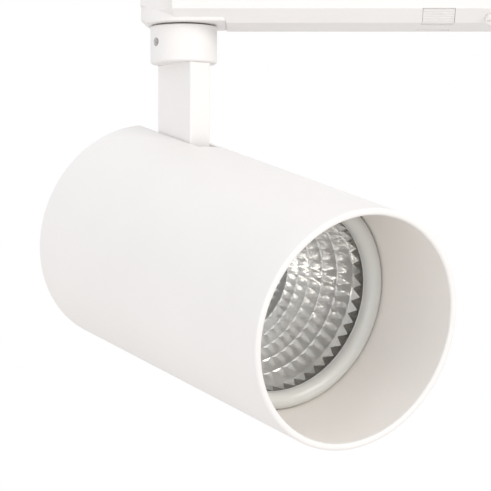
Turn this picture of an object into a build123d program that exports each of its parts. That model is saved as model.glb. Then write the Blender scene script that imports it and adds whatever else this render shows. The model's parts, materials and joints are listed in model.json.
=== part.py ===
from build123d import *
from math import cos, radians, sin, sqrt
import os

# Track spotlight: a cylindrical head hangs on a flat arm from the end of a long gear box.
# The row frame has its origin on the pan axis, at the gear box face that seats on the track.
# +X runs along the gear box, +Z up. All lengths are millimetres.

# ---------------------------------------------------------------- driving dimensions
FIT = 0.05                # radial clearance of a turning fit

# Gear box
BOX_LENGTH = 230.0
BOX_LEFT = -18.0
BOX_HALF = 21.0
BOX_DEPTH = 36.2
BOX_CHAMFER = 5.3
NOSE_CHAMFER = 13.8
WALL = 2.0
COVER = 2.0
COVER_SCREW_R = 1.5
COVER_SCREW_HEAD_R = 3.05
COVER_SCREW_LENGTH = 10.0
COVER_SCREW_X = (36.0, 205.0)
COVER_SCREW_Y = 15.0
SCREW_PILLAR_R = 3.2
VENT_LEFT = 186.0         # row of vent slots in the box's underside
VENT_COUNT = 5
VENT_PITCH = 5.0
VENT_WIDTH = 2.2
VENT_HALF_LENGTH = 9.0
MITRE = 0.586             # 2 - sqrt(2): how a 45 degree chamfer shrinks as its faces move in

# Track neck
NECK_LEFT = 44.0
NECK_LENGTH = 128.0
NECK_HALF = 8.5
NECK_HEIGHT = 14.0
NECK_WALL = 2.0
NECK_LEAD_IN = 1.6        # chamfer round the neck's top
NECK_FLANGE = 2.0
NECK_FLANGE_THICKNESS = 1.5
CONTACT_REACH = 2.4
CONTACT_HALF_WIDTH = 5.0
CONTACT_SEAT = 3.4        # how far inside the neck's side a contact is held
CONTACT_THICKNESS = 1.0

# Terminal block and driver inside the box
TERMINAL_LEFT = 168.0
TERMINAL_RIGHT = 180.0
TERMINAL_HALF = 12.0
TERMINAL_TOP = -21.0
TERMINAL_Y = (-8.0, 0.0, 8.0)
TERMINAL_SCREW_R = 2.0
BOARD_BOTTOM = -33.0
BOARD_TOP = -31.4
BOARD_LEFT = 40.0
BOARD_RIGHT = 166.0
BOARD_NARROW_LEFT = 96.0  # the board is narrow between the latch stems
BOARD_NARROW_RIGHT = 118.0
BOARD_POST_X = 44.0
BOARD_POST_Y = 11.0
# each can's x, y, radius and height
CAPACITORS = ((50, -8, 5, 16), (50, 6, 5, 16), (134, -7, 4, 14), (146, -7, 4, 14))

# Swivel base, collar and stem
BASE_HALF = 18.0
BASE_BOTTOM = -35.6
BASE_WALL_TOP = -33.9
BASE_TOP = -27.6
BASE_CORNER = 2.4
BASE_BEVEL = 0.4
BASE_SLOPE_START = -2.2   # from here to the nose the base's wall rises
BASE_SLOPE = 0.385
BASE_TIP_RISE = 2.2       # facet under the base's round end
BASE_TIP_LENGTH = 3.1
BOSS_R = 13.5
BOSS_HALF = 9.0
BASE_SCREW_X = 16.0
BASE_SCREW_Y = 4.5
BASE_SCREW_R = 1.3
BASE_SCREW_HEAD_R = 2.4
BASE_WEB = 2.2            # web of the housing that the base is screwed up to
COLLAR_R = 14.0
COLLAR_TOP = -36.2
COLLAR_HEIGHT = 15.6
STEM_R = 6.0
STEM_BORE_R = 3.4
STEM_TOP = -18.5
STOP_WASHER_R = 9.6
STOP_WASHER_TAB = 12.8
STOP_WASHER_THICKNESS = 1.2
WAVE_WASHER_R = 9.0
WAVE_WASHER_THICKNESS = 0.9
WASHER_LIFT = 0.35        # stop washer above the base
NUT_FLATS = 17.0
NUT_HEIGHT = 5.0
STOP_PIN_RADIUS = 11.5
STOP_PIN_R = 1.0

# Arm
ARM_WIDTH = 25.0
ARM_THICKNESS = 10.0
TENON_WIDTH = 18.0
TENON_HEIGHT = 5.5
TENON_ROOM = 0.2          # space above the tenon
CABLE_SLOT = 5.0
LEAD_R = 2.2
FRICTION_WASHER_R = 8.0
FRICTION_WASHER_THICKNESS = 0.45
SET_SCREW_Z = -43.2
SET_SCREW_R = 1.8
SET_SCREW_END = 11.2      # outer end, from the stem's axis
SET_SCREW_SOCKET = 2.0
STEM_FLAT = 5.6

# Release latches
LATCH_LEFT = 99.3
LATCH_WIDTH = 13.2
LATCH_GAP = 0.12
LATCH_TRAVEL = 2.4
RIB_COUNT = 6
RIB_DEPTH = 0.3
SPRING_SEAT = 3.0
SPRING_R = 2.4
SPRING_WIRE_R = 0.3
SPRING_TURNS = 5
SPRING_Z = -24.0

# Circuit selector
SELECTOR_X = 127.3
SELECTOR_R = 2.3
SELECTOR_HEIGHT = 2.0
SELECTOR_SHIFT = 1.2      # towards the chamfer's lower edge
SELECTOR_SHAFT_R = 1.5
SELECTOR_CLIP_R = 2.6

# Head
TUBE_R = 47.5
TUBE_BORE_R = 44.7
TUBE_LENGTH = 161.5
PIVOT_Z = -108.8
PIVOT_RISE = 22.0         # pivot above the tube axis
PIVOT_FROM_FRONT = 128.7
ARM_SLOT = 11.0
SLOT_AHEAD = 13.0         # slot end ahead of the pivot
PAN_ANGLE = -54.49        # aim direction at rest, from +X
TILT_ANGLE = 14.69        # aim direction at rest, below horizontal
PIN_R = 3.0

# Optics, as depths behind the front rim
RING_FRONT = 42.5
RING_DEPTH = 8.0
RING_BORE_R = 37.8
GLASS_R = 40.5
GLASS_THICKNESS = 3.0
GASKET_THICKNESS = 0.5
REFLECTOR_MOUTH_R = 39.6
REFLECTOR_NECK_R = 9.0
REFLECTOR_DEPTH = 41.0
REFLECTOR_BULGE = 3.5     # 2 is a paraboloid; more is fuller towards the neck
REFLECTOR_WALL = 1.2
HOLDER_R = 25.0
HOLDER_DEPTH = 4.0
LED_SCREW_RADIUS = 20.0   # from the tube axis
LED_SCREW_R = 1.2
COB_SIDE = 24.0
COB_THICKNESS = 1.4
EMITTER_R = 8.6
EMITTER_THICKNESS = 0.8
THERMAL_PAD = 0.5
LED_WIRE_R = 0.9
LED_WIRE_RISE = 20.0

# Heat sink
SINK_PLATE = 8.0
SINK_END = 150.0
FIN_THICKNESS = 2.2
FIN_PITCH = 5.4
FIN_ROWS = 5
FIRST_FIN = 15.5
LOW_FIN_PITCH = 9.0       # the short fins under the arm's channel
SINK_SLOT = 11.6
CHEEK = 4.0
CHEEK_KEY = 2.0           # depth of the cheeks' grooves in the plate
CHEEK_LOW = 1.0
CHEEK_HIGH = 36.0
COVER_POST_RADIUS = 33.0
COVER_POST_R = 4.2
REAR_SCREW_R = 1.48
REAR_SCREW_HEAD_R = 2.9
REAR_SCREW_HEAD = 1.8
REAR_COVER_FRONT = 152.0
REAR_COVER_THICKNESS = 2.5
REAR_COVER_SLOT_LOW = 8.0
REAR_VENT_ROWS = 5
REAR_VENT_LOWEST = -26.0
REAR_VENT_PITCH = 6.0
REAR_VENT_HALF_LENGTH = 8.5
REAR_VENT_HALF_HEIGHT = 1.2
BOLT_HEAD_R = 5.0
BOLT_HEAD_HEIGHT = 3.0
PIVOT_NUT_FLATS = 10.0
PIVOT_NUT_HEIGHT = 4.0

# Derived places
GLASS_FRONT = RING_FRONT + 5.0
REFLECTOR_FRONT = GLASS_FRONT + GLASS_THICKNESS
HOLDER_FRONT = REFLECTOR_FRONT + REFLECTOR_DEPTH
SINK_FRONT = HOLDER_FRONT + HOLDER_DEPTH
BOX_RIGHT = BOX_LEFT + BOX_LENGTH
COLLAR_BOTTOM = COLLAR_TOP - COLLAR_HEIGHT
NECK_RIGHT = NECK_LEFT + NECK_LENGTH
LATCH_RIGHT = LATCH_LEFT + LATCH_WIDTH
LATCH_INNER = BOX_HALF - 9.5      # inner edge of a latch's pad on the underside
BOX_FLOOR = -BOX_DEPTH + WALL
REAR_COVER_BACK = REAR_COVER_FRONT + REAR_COVER_THICKNESS
CHEEK_OUT = SINK_SLOT / 2 + CHEEK
TENON_TOP = COLLAR_BOTTOM + TENON_HEIGHT
WASHER_LOW = BASE_TOP + WASHER_LIFT
WAVE_WASHER_LOW = WASHER_LOW + STOP_WASHER_THICKNESS
NUT_LOW = WAVE_WASHER_LOW + WAVE_WASHER_THICKNESS

PAN = Rot(0, 0, PAN_ANGLE)
HEAD = Pos(0, 0, PIVOT_Z) * PAN * Rot(0, TILT_ANGLE, 0)


# ---------------------------------------------------------------- small helpers
def block(x0, x1, y0, y1, z0, z1):
    """A box between two corners."""
    size = Box(x1 - x0, y1 - y0, z1 - z0)
    return Pos((x0 + x1) / 2, (y0 + y1) / 2, (z0 + z1) / 2) * size


def rod(radius, z0, z1, x=0.0, y=0.0):
    """A vertical cylinder from z0 to z1."""
    return Pos(x, y, (z0 + z1) / 2) * Cylinder(radius, z1 - z0)


def rod_y(radius, y0, y1, x=0.0, z=0.0):
    """A cylinder along Y."""
    return Pos(x, (y0 + y1) / 2, z) * Rot(90, 0, 0) * Cylinder(radius, y1 - y0)


def along_x(points, x0, x1):
    """A prism along X from an outline given as (y, z) points."""
    outline = Plane.YZ * make_face(Polyline(*points, close=True))
    return Pos(x0, 0, 0) * extrude(outline, x1 - x0)


def up_z(points, z0, z1):
    """A prism along Z from a plan outline given as (x, y) points."""
    outline = make_face(Polyline(*points, close=True))
    return Pos(0, 0, z0) * extrude(outline, z1 - z0)


def hex_prism(flats, z0, z1):
    """A hexagonal prism on the Z axis, sized across its flats."""
    outline = RegularPolygon(flats / sqrt(3), 6)
    return Pos(0, 0, z0) * extrude(outline, z1 - z0)


def shaft(radius, s0, s1, y=0.0, rise=0.0):
    """In the head: a cylinder parallel to the tube axis, from depth s0 to s1."""
    middle = PIVOT_FROM_FRONT - (s0 + s1) / 2
    place = Pos(middle, y, rise - PIVOT_RISE) * Rot(0, 90, 0)
    return place * Cylinder(radius, s1 - s0)


def slab(s0, s1, y0, y1, rise0, rise1):
    """In the head: a box by depth behind the rim, y, and height above the tube axis."""
    x_far = PIVOT_FROM_FRONT - s1
    x_near = PIVOT_FROM_FRONT - s0
    return block(x_far, x_near, y0, y1, rise0 - PIVOT_RISE, rise1 - PIVOT_RISE)


def turned(outline):
    """In the head: a solid of revolution about the tube axis from a face of (depth, radius)."""
    profile = Plane.XZ * outline
    solid = revolve(profile, Axis.X, 360)
    return Pos(PIVOT_FROM_FRONT, 0, -PIVOT_RISE) * solid


def ring_of(radius, angles):
    """Pairs (y, rise) on a circle about the tube axis; angles from the horizontal."""
    return [(radius * cos(radians(a)), radius * sin(radians(a))) for a in angles]


# ---------------------------------------------------------------- gear box
def box_plan(inset):
    """Plan of the box with its blunt nose, moved in by the inset."""
    left = BOX_LEFT + inset
    half = BOX_HALF - inset
    nose = NOSE_CHAMFER - inset * MITRE
    return [
        (left, -half + nose),
        (left + nose, -half),
        (BOX_RIGHT - inset, -half),
        (BOX_RIGHT - inset, half),
        (left + nose, half),
        (left, half - nose),
    ]


def box_body(inset, bottom, top):
    """The box's outer or inner form, with a chamfer along both lower edges and round the nose."""
    slant = BOX_CHAMFER - inset * MITRE
    upper = up_z(box_plan(inset), bottom + slant, top)
    rim = make_face(Polyline(*box_plan(inset), close=True))
    foot = make_face(Polyline(*box_plan(inset + slant), close=True))
    lower = loft([Pos(0, 0, bottom + slant) * rim, Pos(0, 0, bottom) * foot], ruled=True)
    tail = [
        (-BOX_HALF + inset, bottom + slant),
        (-BOX_HALF + inset + slant, bottom),
        (BOX_HALF - inset - slant, bottom),
        (BOX_HALF - inset, bottom + slant),
    ]
    square_end = along_x(tail, BOX_RIGHT - 2 * BOX_CHAMFER, BOX_RIGHT - inset)
    return upper + lower + square_end


def base_plan():
    """Plan of the swivel base: round towards the nose, square towards the box."""
    plan = Rectangle(2 * BASE_HALF, 2 * BASE_HALF)
    plan = fillet(plan.vertices().group_by(Axis.X)[-1], BASE_CORNER)
    return fillet(plan.vertices().group_by(Axis.X)[0], BASE_HALF - 0.01)


def slope_wedge(gap):
    """The space under the nose's slanted lower edge, open to the left."""
    start = BASE_SLOPE_START
    far = BOX_LEFT - 1
    rise = BASE_SLOPE * (start - far)
    outline = [
        (start, -BOX_DEPTH - 1),
        (start, BASE_WALL_TOP + gap),
        (far, BASE_WALL_TOP + rise + gap),
        (far, -BOX_DEPTH - 1),
    ]
    face = Plane.XZ * make_face(Polyline(*outline, close=True))
    return Pos(0, BOX_HALF + 1, 0) * extrude(face, 2 * BOX_HALF + 2)


def base_boss(grow):
    """The part of the base that stands up inside the box."""
    boss = rod(BOSS_R + grow, BASE_WALL_TOP - 1, BASE_TOP)
    return boss + block(0, BASE_HALF, -BOSS_HALF - grow, BOSS_HALF + grow, BASE_WALL_TOP - 1, BASE_TOP)


def base_rim():
    """The base's visible wall, up to where it meets the box."""
    low = Pos(0, 0, BASE_BOTTOM) * extrude(base_plan(), BASE_WALL_TOP - BASE_BOTTOM)
    high = Pos(0, 0, BASE_BOTTOM) * extrude(base_plan(), BASE_TOP - BASE_BOTTOM)
    return low + (high & slope_wedge(0))


def latch_window(sign):
    """The opening in the box's lower edge for one release latch."""
    outer = sign * (BOX_HALF + 1)
    inner = sign * (LATCH_INNER - LATCH_TRAVEL - 0.3)
    return block(LATCH_LEFT - LATCH_GAP, LATCH_RIGHT + LATCH_GAP, min(outer, inner), max(outer, inner),
                 -BOX_DEPTH - 1, -BOX_DEPTH + BOX_CHAMFER + LATCH_GAP)


def selector_frame():
    """Frame on the near chamfer at the selector, Z pointing out of the box."""
    shift = SELECTOR_SHIFT * sqrt(0.5)
    middle = -BOX_HALF + BOX_CHAMFER / 2 + shift
    height = -BOX_DEPTH + BOX_CHAMFER / 2 - shift
    return Pos(SELECTOR_X, middle, height) * Rot(135, 0, 0)


def screw_spots():
    return [(x, side * COVER_SCREW_Y) for x in COVER_SCREW_X for side in (1, -1)]


def base_screw_spots():
    return [(BASE_SCREW_X, side * BASE_SCREW_Y) for side in (-1, 1)]


def make_gear_housing():
    outer = box_body(0, -BOX_DEPTH, -COVER)
    inner = box_body(WALL, -BOX_DEPTH + WALL, -COVER + 1)
    shell = outer - inner
    rim = block(BASE_HALF, BASE_HALF + WALL, -BOX_HALF + 1, BOX_HALF - 1, -BOX_DEPTH, BASE_TOP)
    web = block(BOSS_R, BASE_HALF + WALL, -BOX_HALF + 1, BOX_HALF - 1, BASE_TOP, BASE_TOP + BASE_WEB)
    shell += (rim + web) & outer
    for x, y in screw_spots():
        shell += rod(SCREW_PILLAR_R, BOX_FLOOR, -COVER, x, y) & outer
    shell -= Pos(0, 0, -BOX_DEPTH - 1) * extrude(base_plan(), BASE_WALL_TOP + BOX_DEPTH + 1)
    shell -= slope_wedge(0)
    shell -= base_boss(0.1)
    for x, y in base_screw_spots():
        shell -= rod(BASE_SCREW_R + 0.2, BASE_TOP - 1, BASE_TOP + BASE_WEB + 1, x, y)
    for sign in (-1, 1):
        shell -= latch_window(sign)
    for x, y in screw_spots():
        shell -= rod(COVER_SCREW_R, -COVER_SCREW_LENGTH - 4, -COVER, x, y)
    shell -= selector_frame() * rod(SELECTOR_SHAFT_R + FIT, -12, 4)
    for step in range(VENT_COUNT):
        x = VENT_LEFT + VENT_PITCH * step
        shell -= block(x, x + VENT_WIDTH, -VENT_HALF_LENGTH, VENT_HALF_LENGTH,
                       -BOX_DEPTH - 1, BOX_FLOOR + 0.5)
    return shell


def make_gear_cover():
    plate = up_z(box_plan(0), -COVER, 0)
    hole = NECK_HALF + FIT
    plate -= block(NECK_LEFT - FIT, NECK_RIGHT + FIT, -hole, hole, -COVER, 0)
    for x, y in screw_spots():
        plate -= rod(COVER_SCREW_R + 0.2, -COVER, 0, x, y)
        plate -= Pos(x, y, -0.8) * Cone(COVER_SCREW_R + 0.2, 3.3, 1.6)
    return plate


def countersunk_screw(radius, head_r, length):
    """A countersunk cross-recess screw, head flush with z = 0, pointing down."""
    head = Pos(0, 0, -0.85) * Cone(radius, head_r, 1.7)
    body = head + rod(radius, -length, -1.7)
    for angle in (0, 90):
        body -= Rot(0, 0, angle) * block(-1.5, 1.5, -0.3, 0.3, -0.9, 0.1)
    return body


def make_cover_screws():
    screw = countersunk_screw(COVER_SCREW_R - FIT, COVER_SCREW_HEAD_R, COVER_SCREW_LENGTH)
    return [Pos(x, y, -FIT) * screw for x, y in screw_spots()]


def make_track_neck():
    """Insulating neck through the cover, with a flange under it, a hollow and contact pockets."""
    neck = block(NECK_LEFT, NECK_RIGHT, -NECK_HALF, NECK_HALF, -COVER, NECK_HEIGHT)
    top_edges = neck.edges().group_by(Axis.Z)[-1]
    neck = chamfer(top_edges, NECK_LEAD_IN)
    edge = NECK_HALF + NECK_FLANGE
    bottom = -COVER - NECK_FLANGE_THICKNESS
    neck += block(NECK_LEFT - NECK_FLANGE, NECK_RIGHT + NECK_FLANGE, -edge, edge, bottom, -COVER)
    inside = NECK_HALF - NECK_WALL
    end = NECK_WALL + 1
    neck -= block(NECK_LEFT + end, NECK_RIGHT - end, -inside, inside, bottom, NECK_HEIGHT - end)
    for x, y_sign, z in contact_spots():
        half = CONTACT_HALF_WIDTH + 1
        window = block(x - half, x + half, 0, NECK_HALF + 1, z - 1.4, z + 1.4)
        neck -= window if y_sign > 0 else mirror(window, Plane.XZ)
    for sign in (-1, 1):
        window = block(LATCH_LEFT + 1, LATCH_RIGHT - 1, 0, NECK_HALF + 1, 0, 8.4)
        neck -= window if sign > 0 else mirror(window, Plane.XZ)
    return neck


def contact_spots():
    """Contact places as (x, side, z): three phases, then the neutral, then the earth."""
    return [
        (62.0, -1, 4.0),
        (78.0, -1, 7.5),
        (62.0, 1, 7.5),
        (78.0, 1, 4.0),
        (92.0, 1, 7.5),
    ]


def contact_blade(x, side, z):
    """A bent contact strip: a carrier tail inside the neck and a bowed blade outside."""
    inner = NECK_HALF - CONTACT_SEAT
    outer = inner + CONTACT_THICKNESS
    left = x - CONTACT_HALF_WIDTH
    right = x + CONTACT_HALF_WIDTH
    tip = NECK_HALF + CONTACT_REACH
    points = [(left, inner), (right, inner), (right, outer), (x + 2, tip), (x - 2, tip), (left, outer)]
    blade = block(left, right, inner, outer, z - 1.0, z + 1.0) + up_z(points, z - 0.6, z + 0.6)
    return blade if side > 0 else mirror(blade, Plane.XZ)


def make_terminal_block():
    """Three-way screw terminal at the end of the driver."""
    middle = (TERMINAL_LEFT + TERMINAL_RIGHT) / 2
    body = block(TERMINAL_LEFT, TERMINAL_RIGHT, -TERMINAL_HALF, TERMINAL_HALF, BOX_FLOOR, TERMINAL_TOP)
    for y in TERMINAL_Y:
        body -= rod(TERMINAL_SCREW_R + 0.2, TERMINAL_TOP - 4, TERMINAL_TOP + 1, middle, y)
        body -= Pos(TERMINAL_RIGHT, y, TERMINAL_TOP - 8) * Rot(0, 90, 0) * Cylinder(1.8, 8)
    return body


def make_terminal_screws():
    middle = (TERMINAL_LEFT + TERMINAL_RIGHT) / 2
    head = TERMINAL_TOP - 1.5
    screws = []
    for y in TERMINAL_Y:
        screw = rod(TERMINAL_SCREW_R, TERMINAL_TOP - 4, head, middle, y)
        screws.append(screw - block(middle - 3, middle + 3, y - 0.4, y + 0.4, head - 0.8, head + 1))
    return screws


# ---------------------------------------------------------------- driver inside the box
def make_driver_board():
    board = block(BOARD_NARROW_RIGHT, BOARD_RIGHT, -11, 15, BOARD_BOTTOM, BOARD_TOP)
    board += block(BOARD_LEFT, BOARD_NARROW_LEFT, -15, 15, BOARD_BOTTOM, BOARD_TOP)
    board += block(BOARD_NARROW_LEFT, BOARD_NARROW_RIGHT, -4, 4, BOARD_BOTTOM, BOARD_TOP)
    for y in (-BOARD_POST_Y, BOARD_POST_Y):
        board -= rod(1.6, BOARD_BOTTOM, BOARD_TOP, BOARD_POST_X, y)
    return board


def make_driver_transformer():
    core = block(62, 84, -11, 11, BOARD_TOP, BOARD_TOP + 16)
    winding = block(59, 87, -7.5, 7.5, BOARD_TOP + 3, BOARD_TOP + 13)
    return core + winding


def make_driver_capacitors():
    cans = []
    for x, y, radius, height in CAPACITORS:
        can = rod(radius, BOARD_TOP, BOARD_TOP + height, x, y)
        top = can.edges().group_by(Axis.Z)[-1]
        cans.append(fillet(top, 0.8))
    return cans


def make_driver_choke():
    """Toroid lying on the board."""
    wire = 2.4
    return Pos(140, 7, BOARD_TOP + wire) * Torus(6.0, wire)


def make_driver_posts():
    """Two stand-offs that carry the driver board."""
    posts = []
    for y in (-BOARD_POST_Y, BOARD_POST_Y):
        foot = rod(3, BOX_FLOOR, BOARD_BOTTOM, BOARD_POST_X, y)
        posts.append(foot + rod(1.5, BOARD_BOTTOM, BOARD_TOP + 1.5, BOARD_POST_X, y))
    return posts


# ---------------------------------------------------------------- release latches
def make_latch(sign):
    """Sprung latch: a ribbed pad at the box's edge, a stem, and a hook in the neck."""
    near = BOX_HALF
    low = -BOX_DEPTH
    pad = [
        (near, low + BOX_CHAMFER),
        (near - BOX_CHAMFER, low),
        (LATCH_INNER, low),
        (LATCH_INNER, low + 2.2),
        (LATCH_INNER - 3.2, low + 2.2),
        (LATCH_INNER - 3.2, low + 3.4),
        (near - 7.0, low + 3.4),
        (near - 3.6, low + 5.0),
        (near - 3.6, low + BOX_CHAMFER),
    ]
    body = along_x(pad, LATCH_LEFT, LATCH_RIGHT)
    pitch = BOX_CHAMFER / RIB_COUNT
    for rib in range(RIB_COUNT):
        y = near - pitch * (rib + 0.5)
        z = low + BOX_CHAMFER - pitch * (rib + 0.5)
        groove = Rot(45, 0, 0) * Box(LATCH_WIDTH + 1, 0.5, 2 * RIB_DEPTH)
        body -= Pos((LATCH_LEFT + LATCH_RIGHT) / 2, y, z) * Rot(90, 0, 0) * groove
    for rib in range(3):
        y = near - BOX_CHAMFER - 0.7 - 1.2 * rib
        body -= block(LATCH_LEFT - 1, LATCH_RIGHT + 1, y - 0.25, y + 0.25, low - 1, low + RIB_DEPTH)
    stem_left = LATCH_LEFT + 2.5
    stem_right = LATCH_RIGHT - 2.5
    stem = [
        (near - 9.5, low + 1.0),
        (near - 5.8, low + 2.2),
        (near - 5.8, -7.0),
        (5.6, -4.0),
        (5.6, 4.8),
        (11.2, 4.8),
        (9.6, 7.4),
        (3.4, 7.4),
        (3.4, -6.0),
        (near - 8.2, -9.4),
        (near - 8.2, low + 4.0),
        (near - 9.5, low + 3.0),
    ]
    body += along_x(stem, stem_left, stem_right)
    return body if sign > 0 else mirror(body, Plane.XZ)


def make_latch_post():
    """A fixed post between the two latch stems, where their springs seat."""
    middle = (LATCH_LEFT + LATCH_RIGHT) / 2
    return block(middle - 3.5, middle + 3.5, -SPRING_SEAT, SPRING_SEAT, BOARD_TOP, SPRING_Z + 4.5)


def make_latch_spring(sign):
    """Compression spring between the post and a latch stem."""
    stem_face = BOX_HALF - 8.2
    length = stem_face - SPRING_SEAT - 2 * SPRING_WIRE_R
    path = Helix(length / SPRING_TURNS, length, SPRING_R)
    start = path @ 0
    profile = Plane(origin=start, z_dir=path % 0) * Circle(SPRING_WIRE_R)
    coil = sweep(profile, path)
    middle = (LATCH_LEFT + LATCH_RIGHT) / 2
    coil = Pos(middle, SPRING_SEAT + SPRING_WIRE_R, SPRING_Z) * Rot(-90, 0, 0) * coil
    return coil if sign > 0 else mirror(coil, Plane.XZ)


# ---------------------------------------------------------------- circuit selector
def make_selector_knob():
    """Small round knob on the near chamfer, with a screwdriver slot and a shaft."""
    knob = rod(SELECTOR_R, 0.2, SELECTOR_HEIGHT)
    knob = fillet(knob.edges().group_by(Axis.Z)[-1], 0.4)
    slot = block(-1.5, 1.5, -0.3, 0.3, SELECTOR_HEIGHT - 0.5, SELECTOR_HEIGHT + 1)
    return selector_frame() * (knob - slot + rod(SELECTOR_SHAFT_R, -6.5, 0.3))


def make_selector_clip():
    """Retaining ring on the shaft's inner end."""
    clip = rod(SELECTOR_CLIP_R, -4.2, -3.4) - rod(SELECTOR_SHAFT_R, -5, 0)
    return selector_frame() * (clip - block(0, 4, -0.9, 0.9, -5, 0))


# ---------------------------------------------------------------- swivel
def make_swivel_base():
    base = base_rim()
    rim = base.faces().sort_by(Axis.Z)[0].outer_wire().edges()
    base = chamfer(rim, BASE_BEVEL) + base_boss(0)
    slope = BASE_TIP_RISE / BASE_TIP_LENGTH
    facet = [(BOX_LEFT - 1, BASE_BOTTOM - 1), (BOX_LEFT - 1, BASE_BOTTOM + BASE_TIP_RISE + slope),
             (BOX_LEFT + BASE_TIP_LENGTH + 1 / slope, BASE_BOTTOM - 1)]
    tip = Plane.XZ * make_face(Polyline(*facet, close=True))
    base -= Pos(0, BASE_HALF + 1, 0) * extrude(tip, 2 * BASE_HALF + 2)
    base -= rod(STEM_R + FIT, BASE_BOTTOM - 1, BASE_TOP + 1)
    base -= rod(STOP_PIN_R, BASE_TOP - 3, BASE_TOP + 1, -STOP_PIN_RADIUS)
    for x, y in base_screw_spots():
        base -= rod(BASE_SCREW_R, BASE_TOP - 6, BASE_TOP + 1, x, y)
    return base


def make_base_screws():
    """Pan-head screws that hold the swivel base up in the housing."""
    seat = BASE_TOP + BASE_WEB
    screws = []
    for x, y in base_screw_spots():
        screw = rod(BASE_SCREW_R, BASE_TOP - 5.5, seat, x, y)
        screw += rod(BASE_SCREW_HEAD_R, seat, seat + 1.6, x, y)
        screw -= block(x - 1.6, x + 1.6, y - 0.3, y + 0.3, seat + 0.7, seat + 2)
        screws.append(screw)
    return screws


def make_stop_pin():
    return rod(STOP_PIN_R, BASE_TOP - 3, BASE_TOP + 3.0, -STOP_PIN_RADIUS, 0)


def make_pan_collar():
    collar = rod(COLLAR_R, COLLAR_BOTTOM, COLLAR_TOP)
    collar = fillet(collar.edges().group_by(Axis.Z)[0], 1.1)
    collar = chamfer(collar.edges().group_by(Axis.Z)[-1], 0.3)
    collar -= rod(STEM_R, TENON_TOP + TENON_ROOM, COLLAR_TOP + 1)
    collar -= block(-TENON_WIDTH / 2, TENON_WIDTH / 2, -ARM_THICKNESS / 2, ARM_THICKNESS / 2,
                    COLLAR_BOTTOM - 1, TENON_TOP + TENON_ROOM)
    collar -= rod_y(SET_SCREW_R + 0.02, -COLLAR_R - 1, -4, 0, SET_SCREW_Z)
    return PAN * collar


def make_set_screw():
    """Hexagon-socket grub screw that clamps the stem in the collar."""
    screw = rod_y(SET_SCREW_R, -SET_SCREW_END, -STEM_FLAT, 0, SET_SCREW_Z)
    socket = Pos(0, 1.6 - SET_SCREW_END, SET_SCREW_Z) * Rot(90, 0, 0) * hex_prism(SET_SCREW_SOCKET, 0, 3)
    return PAN * (screw - socket)


def make_pan_stem():
    """Hollow threaded stem that carries the lead through the swivel."""
    stem = rod(STEM_R, TENON_TOP + TENON_ROOM, STEM_TOP)
    stem -= rod(STEM_BORE_R, COLLAR_BOTTOM, 0)
    flat = block(-STEM_R, STEM_R, -STEM_R - 1, -STEM_FLAT, SET_SCREW_Z - 3, SET_SCREW_Z + 3)
    return PAN * (stem - flat)


def make_stop_washer():
    """Washer with a tab that meets the stop pin at both ends of the pan."""
    washer = rod(STOP_WASHER_R, WASHER_LOW, WAVE_WASHER_LOW)
    washer += block(0, STOP_WASHER_TAB, -1, 1, WASHER_LOW, WAVE_WASHER_LOW)
    washer -= rod(STEM_R, WASHER_LOW - 1, WAVE_WASHER_LOW + 1)
    return PAN * washer


def make_wave_washer():
    washer = rod(WAVE_WASHER_R, WAVE_WASHER_LOW, NUT_LOW)
    return PAN * (washer - rod(STEM_R, WAVE_WASHER_LOW - 1, NUT_LOW + 1))


def make_stem_nut():
    top = NUT_LOW + NUT_HEIGHT
    nut = hex_prism(NUT_FLATS, NUT_LOW, top) & rod(STOP_WASHER_R, NUT_LOW, top)
    return PAN * (nut - rod(STEM_R, NUT_LOW - 1, top + 1))


def make_arm():
    """Flat arm with a round lower end, a tenon at the top and a lead channel."""
    half = ARM_WIDTH / 2
    plate = block(-half, half, -ARM_THICKNESS / 2, ARM_THICKNESS / 2, PIVOT_Z, COLLAR_BOTTOM)
    plate += rod_y(half, -ARM_THICKNESS / 2, ARM_THICKNESS / 2, 0, PIVOT_Z)
    long_edges = plate.edges().filter_by(Axis.Z)
    plate = fillet(long_edges, 0.8)
    plate += block(-TENON_WIDTH / 2, TENON_WIDTH / 2, -ARM_THICKNESS / 2, ARM_THICKNESS / 2,
                   COLLAR_BOTTOM, TENON_TOP)
    plate -= rod_y(PIN_R + FIT, -10, 10, 0, PIVOT_Z)
    channel = CABLE_SLOT / 2
    plate -= block(-channel, channel, -channel, channel, PIVOT_Z + 9, COLLAR_BOTTOM + 20)
    return PAN * plate


def make_arm_lead():
    """The two-core lead where it runs straight down the stem and the arm."""
    return PAN * rod(LEAD_R, PIVOT_Z + 9.5, STEM_TOP - 1.5)


def make_friction_washers():
    """Two thin friction washers on the arm's faces at the pivot."""
    low = ARM_THICKNESS / 2
    washers = []
    for sign in (-1, 1):
        faces = (sign * low, sign * (low + FRICTION_WASHER_THICKNESS))
        washer = rod_y(FRICTION_WASHER_R, min(faces), max(faces), 0, PIVOT_Z)
        washer -= rod_y(PIN_R + FIT, -10, 10, 0, PIVOT_Z)
        washers.append(PAN * washer)
    return washers


# ---------------------------------------------------------------- head
def make_head_tube():
    """Thin round tube with a rounded front rim and a slot for the arm at the rear top."""
    wall = TUBE_R - TUBE_BORE_R
    tube = shaft(TUBE_R, 0, TUBE_LENGTH) - shaft(TUBE_BORE_R, -1, TUBE_LENGTH + 1)
    front = tube.edges().group_by(Axis.X)[-1]
    tube = fillet(front, wall * 0.42)
    slot_front = PIVOT_FROM_FRONT - SLOT_AHEAD
    tube -= slab(slot_front, TUBE_LENGTH + 1, -ARM_SLOT / 2, ARM_SLOT / 2, 20, TUBE_R + 1)
    return HEAD * tube


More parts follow.
